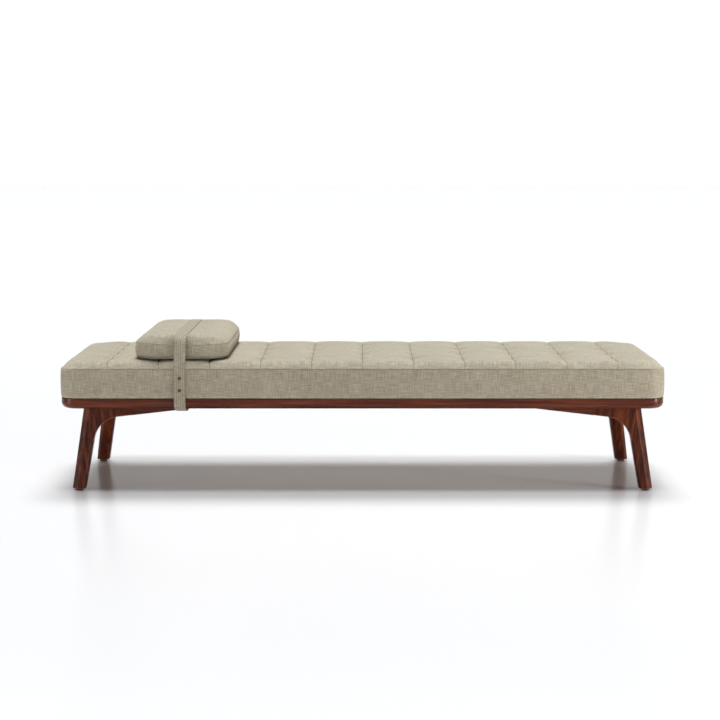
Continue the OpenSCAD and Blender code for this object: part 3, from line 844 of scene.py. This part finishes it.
edge_lines = (0.002, 0.006, 0.014)
fine_xs = [strap_half + v for v in (0, 0.0012, 0.003, 0.006, 0.010, 0.018)]
fine_xs += [cushion_l - v for v in edge_lines]
cushion_xs = lines_between(-cushion_l, cushion_l, [s * v for s in (-1, 1) for v in fine_xs], 0.006)
cushion_ys = lines_between(-cushion_d, cushion_d,
                           [s * (cushion_d - v) for s in (-1, 1) for v in edge_lines], 0.006)
cushion_levels = [(cushion_height(0.014), lambda x, y: cushion_bulge(0)(x, y) - 0.0018),
                  (cushion_height(0.045), lambda x, y: cushion_bulge(0)(x, y) + 0.0006)]
cushion_levels += [(cushion_height(k / 9), cushion_bulge(k / 9)) for k in range(1, 9)]
cushion_levels += [(cushion_height(0.97), lambda x, y: cushion_bulge(1)(x, y) + 0.0004),
                   (cushion_height(0.99), lambda x, y: cushion_bulge(1)(x, y) - 0.0020),
                   (cushion_height(1.0), lambda x, y: cushion_bulge(1)(x, y) - 0.0010)]
cushion_cloth = linen("greige_linen_cushion", *greige)
cushion, cushion_loops = box_cushion("head_cushion", cushion_xs, cushion_ys, cushion_corner,
                                     cushion_top, cushion_levels, cushion_bottom, cushion_cloth,
                                     middle=cushion_x)
across = np.array([(v.co.x - cushion_x, v.co.y, v.co.z) for v in cushion.data.vertices])
free = np.clip((np.abs(across[:, 0]) - strap_half - 0.006) / 0.03, 0, 1)
free *= np.clip((across[:, 2] - cushion_base - 0.012) / 0.01, 0, 1)
held = 1 - 0.9 * free
for loop in cushion_loops[:2]:
    held[loop] = 1
way = filled_out(cushion, held, 3.0, 0.004)
cushion.data.vertices.foreach_set("co", (np.array([v.co for v in cushion.data.vertices]) + way).ravel())
for point in cushion.data.vertices:
    point.co.x += askew(point.co.y)
smooth_by_angle(cushion, 60)
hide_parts("cushion_top_panel", "cushion_side_band", "cushion_bottom_panel", "cushion_core")
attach(cushion, "headrest")


# ------------------------------------------------------------
# Strap: linen-faced webbing, 38.5 by 1.8 mm, stitched along both edges. The band is the loop
# round the bed; the tail is its outer end, from just above the mattress's top edge down the front.
# ------------------------------------------------------------
def runs(line):
    """How far along a line each of its points is."""
    return np.concatenate([[0], np.cumsum(np.linalg.norm(np.diff(line, axis=0), axis=1))])


def resampled(line, step):
    """The same line with points an even step apart."""
    line = np.array(line)
    run = runs(line)
    count = max(2, round(run[-1] / step))
    at = np.linspace(0, run[-1], count + 1)
    return np.stack([np.interp(at, run, line[:, 0]), np.interp(at, run, line[:, 1])], 1)


def relaxed(line, rounds):
    """A line with its corners drawn round, its ends held."""
    line = line.copy()
    for _ in range(rounds):
        line[1:-1] = (line[:-2] + 2 * line[1:-1] + line[2:]) / 4
    return line


def webbing(name, line, material):
    """Sweeps the webbing's section along a (y, z) line: eased edges, and a faint hollow
    where each row of edge stitching pulls the faces together."""
    step = np.gradient(line, axis=0)
    step /= np.linalg.norm(step, axis=1)[:, None]
    normal = np.stack([-step[:, 1], step[:, 0]], 1)
    half = strap_thick / 2
    spots = [(-1, 0), (-0.985, 0.75), (-0.95, 1), (-0.86, 0.97), (-0.82, 0.72), (-0.78, 0.97), (-0.6, 1),
             (-0.3, 1), (0, 1), (0.3, 1), (0.6, 1), (0.78, 0.97), (0.82, 0.72), (0.86, 0.97), (0.95, 1),
             (0.985, 0.75)]
    section = spots + [(-s, -t) for s, t in spots]
    width = len(section)
    points = []
    for place, out in zip(line, normal):
        for across, thick in section:
            points.append((strap_x + askew(place[0]) + across * strap_half, place[0] + out[0] * thick * half,
                           place[1] + out[1] * thick * half))
    faces, cloth = [], []
    run = runs(line)
    wide = [s * strap_half for s, _ in section] + [-strap_half]
    for k in range(len(line) - 1):
        for i in range(width):
            j = (i + 1) % width
            faces.append((k * width + i, k * width + j, (k + 1) * width + j, (k + 1) * width + i))
            cloth += [(wide[i], run[k]), (wide[i + 1], run[k]), (wide[i + 1], run[k + 1]),
                      (wide[i], run[k + 1])]
    last = (len(line) - 1) * width
    faces += [tuple(reversed(range(width))), tuple(range(last, last + width))]
    cloth += [(wide[i], 0) for i in reversed(range(width))] + [(wide[i], run[-1]) for i in range(width)]
    obj = new_piece(name, points, faces, [material])
    obj.data.uv_layers.new(name="cloth").data.foreach_set("uv", np.array(cloth, np.float32).ravel())
    turned = bmesh.new()
    turned.from_mesh(obj.data)
    bmesh.ops.recalc_face_normals(turned, faces=turned.faces)
    turned.to_mesh(obj.data)
    turned.free()
    smooth_by_angle(obj, 60)
    return obj


hinge_z = tail_high.z
split_z = hinge_z + 0.012
turn_r = rail_round + 0.002
turn_y, turn_z = rail_edge - rail_round, rail_bottom + rail_round
under_z = strap_low.z + strap_thick / 2
front_turn = [(-layer_y, band_low.z - 0.001)]
front_turn += [(-turn_y - turn_r * math.cos(math.radians(a)), turn_z - turn_r * math.sin(math.radians(a)))
               for a in range(0, 81, 10)]
front_turn += [(-half_depth + 0.078, under_z)]
back_turn = [(-y, z) for y, z in reversed(front_turn)]
rounding = [over_lip * (1 - math.cos(math.radians(a))) for a in range(0, 91, 6)]
over = [(y, float(strap_over(y))) for y in [edge_y - v for v in rounding]]
over += [(-y, z) for y, z in reversed(over)]
whole_line = ([(-layer_y, band_top - 0.012)] + front_turn + back_turn + [(layer_y, band_top + 0.009)]
              + over + [(-tail_y, hinge_z + 0.004), (-tail_y, rail_top)])
whole_line = relaxed(resampled(whole_line, 0.004), 5)
cut = max(k for k, (y, z) in enumerate(whole_line) if z > split_z)

# rib: painted shade between the webbing's cords
strap_cloth = linen("greige_linen_strap", *greige, rib=0.36)
band_line, tail_line = whole_line[:cut + 1], whole_line[cut:]
band = webbing("strap_loop", band_line, strap_cloth)
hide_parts("strap_band")
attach(band, "headrest")

tail = webbing("strap_front_end", tail_line, strap_cloth)
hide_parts("strap_tail")
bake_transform(tail)


# ------------------------------------------------------------
# Snaps: two press snaps in antiqued copper close the strap. Each has a domed cap with a
# rolled rim on the tail, a socket behind it, and a stud on the layer below.
# ------------------------------------------------------------
def antique_copper():
    """Copper plate over brass, darkened and rubbed back: warm, half-bright, patchy."""
    made, tree, shader, place = finish_of("antiqued_copper")
    wear = add(tree, "ShaderNodeTexNoise", {"Vector": place, "Scale": 420.0, "Detail": 3.0})
    stops = [(0.35, "#3f2a1c"), (0.55, "#7a583b"), (0.75, "#b08a66")]
    tree.links.new(ramp(tree, wear.outputs["Fac"], stops), shader.inputs["Base Color"])
    rough = add(tree, "ShaderNodeMapRange", {"Value": wear.outputs["Fac"], "To Min": 0.5, "To Max": 0.25})
    tree.links.new(rough.outputs[0], shader.inputs["Roughness"])
    shader.inputs["Metallic"].default_value = 1.0
    return made


copper = antique_copper()
for node in ("snap_sockets", "snap_studs"):
    dress(node, copper)

cap_low, cap_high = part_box("snap_caps")
cap_radius = (cap_high.x - cap_low.x) / 2
cap_face = -tail_low.y
cap_profile = [(0, 0.00165), (0.25, 0.00160), (0.5, 0.00140), (0.66, 0.00110), (0.74, 0.00095),
               (0.80, 0.00125), (0.87, 0.00145), (0.95, 0.00120), (1.0, 0.00060), (0.97, -0.0001)]
for name, cap_z in (("snap_cap_lower", cap_low.z + cap_radius), ("snap_cap_upper", cap_high.z - cap_radius)):
    spun, sides = [(strap_x, -cap_face - cap_profile[0][1], cap_z)], 40
    for share, out in cap_profile[1:]:
        for k in range(sides):
            a = 2 * math.pi * k / sides
            spun.append((strap_x + share * cap_radius * math.cos(a), -cap_face - out,
                         cap_z + share * cap_radius * math.sin(a)))
    faces = [(0, 1 + k, 1 + (k + 1) % sides) for k in range(sides)]
    for r in range(len(cap_profile) - 2):
        for k in range(sides):
            a, b = 1 + r * sides + k, 1 + r * sides + (k + 1) % sides
            faces.append((a, a + sides, b + sides, b))
    back = 1 + (len(cap_profile) - 2) * sides
    faces.append(tuple(back + k for k in reversed(range(sides))))
    cap = new_piece(name, spun, faces, [copper])
    smooth_by_angle(cap, 50)
    if name == "snap_cap_lower":
        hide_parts("snap_caps")
    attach(cap, "strap_end")


# ------------------------------------------------------------
# Studio: a pale glossy floor and a white horizon all round. Two wide soft lights overhead,
# one from behind, lay a double shadow, and a low soft box at each side lights the arrises.
# ------------------------------------------------------------
far = 60
floor = new_piece("studio_floor", [(-far, -far, 0), (far, -far, 0), (far, far, 0), (-far, far, 0)],
                  [(0, 1, 2, 3)], [])
paint, tree, shader, place = finish_of("pale_floor_paint")
shader.inputs["Base Color"].default_value = colour("#ece9e8")
shader.inputs["Roughness"].default_value = 0.22
shader.inputs["Specular IOR Level"].default_value = 0.35
floor.data.materials.append(paint)

world = bpy.data.worlds.new("studio")
world.use_nodes = True
bpy.context.scene.world = world
sky = world.node_tree
background = next(n for n in sky.nodes if n.type == "BACKGROUND")
direction = add(sky, "ShaderNodeTexCoord").outputs["Generated"]
tall = add(sky, "ShaderNodeSeparateXYZ", {"Vector": direction}).outputs["Z"]
# by height: white up to 8 degrees above the horizon, then grey, and paler again overhead
glow = ramp(sky, tall, [(0.0, "#ffffff"), (0.14, "#ffffff"), (0.18, "#4b4b4b"), (0.70, "#4b4b4b"),
                        (0.85, "#6c6c6c")])
sky.links.new(glow, background.inputs["Color"])
background.inputs["Strength"].default_value = 1.05


def lamp(name, kind, place, aim, power, **settings):
    """A light at a place, turned to face its aim."""
    made = bpy.data.lights.new(name, kind)
    made.energy = power
    for key, value in settings.items():
        setattr(made, key, value)
    obj = bpy.data.objects.new(name, made)
    obj.location = place
    obj.rotation_euler = (Vector(aim) - Vector(place)).to_track_quat("-Z", "Y").to_euler()
    bpy.context.scene.collection.objects.link(obj)


cool_white = colour("#f6fbff")[:3]
lamp("overhead_behind", "SUN", (0.1, 1.7, 4.0), (0, 0, 0), 3.00, angle=math.radians(30), color=cool_white)
lamp("overhead", "SUN", (0.0, -0.35, 4.0), (0, 0, 0), 1.55, angle=math.radians(18), color=cool_white)
lamp("right_box", "AREA", (3.4, -1.6, 0.55), (0.9, -0.3, 0.15), 42, shape="RECTANGLE", size=0.55, size_y=0.9)
lamp("left_box", "AREA", (-3.4, -1.6, 0.45), (-0.9, -0.3, 0.15), 12, shape="RECTANGLE", size=0.5, size_y=0.7)

bpy.context.scene.view_settings.view_transform = "Standard"
